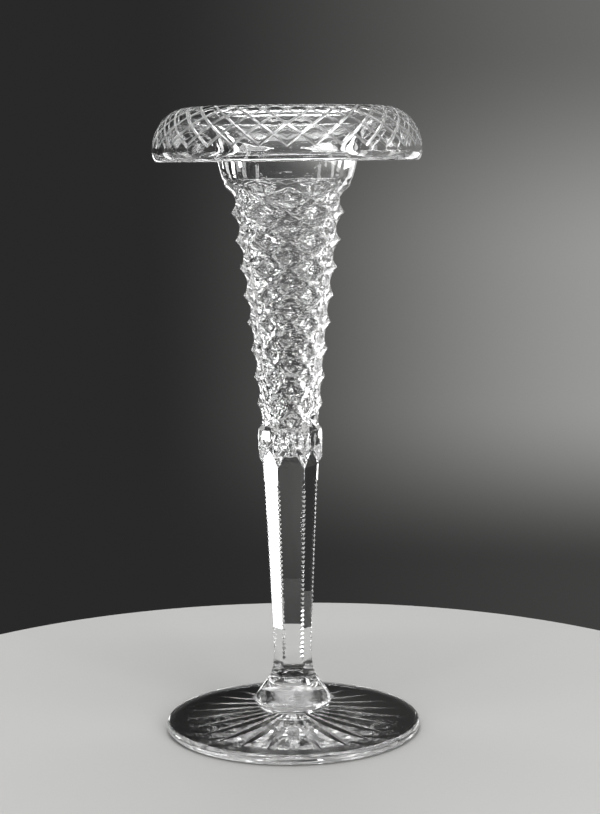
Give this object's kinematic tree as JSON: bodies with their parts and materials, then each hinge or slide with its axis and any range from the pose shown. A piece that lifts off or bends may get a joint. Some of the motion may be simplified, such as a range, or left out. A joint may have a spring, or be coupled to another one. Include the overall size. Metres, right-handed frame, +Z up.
{
  "type": "posy vase",
  "caption": "Clear cut-glass posy vase: tall trumpet bowl with a turned-over diamond-cut rim, on a fluted stem, a rounded knop and a round star-cut foot; holds a small bunch of flowers.",
  "frame": {"origin": "middle of the underside of the foot, on the plane that the vase stands on", "axes": "+Z up along the axis of the vase, -Y towards the viewer of the picture"},
  "size_m": [0.1062, 0.1062, 0.25],
  "materials": {
    "bowl_glass": "polished clear glass with cut diamonds",
    "stem_glass": "polished clear glass with flat flutes",
    "knop_glass": "polished clear glass",
    "foot_glass": "polished clear glass with a star cut underneath"
  },
  "bodies": {
    "root": {"trumpet_bowl": "bowl_glass", "fluted_stem": "stem_glass", "foot_knop": "knop_glass", "star_cut_foot": "foot_glass"}
  },
  "joints": []
}
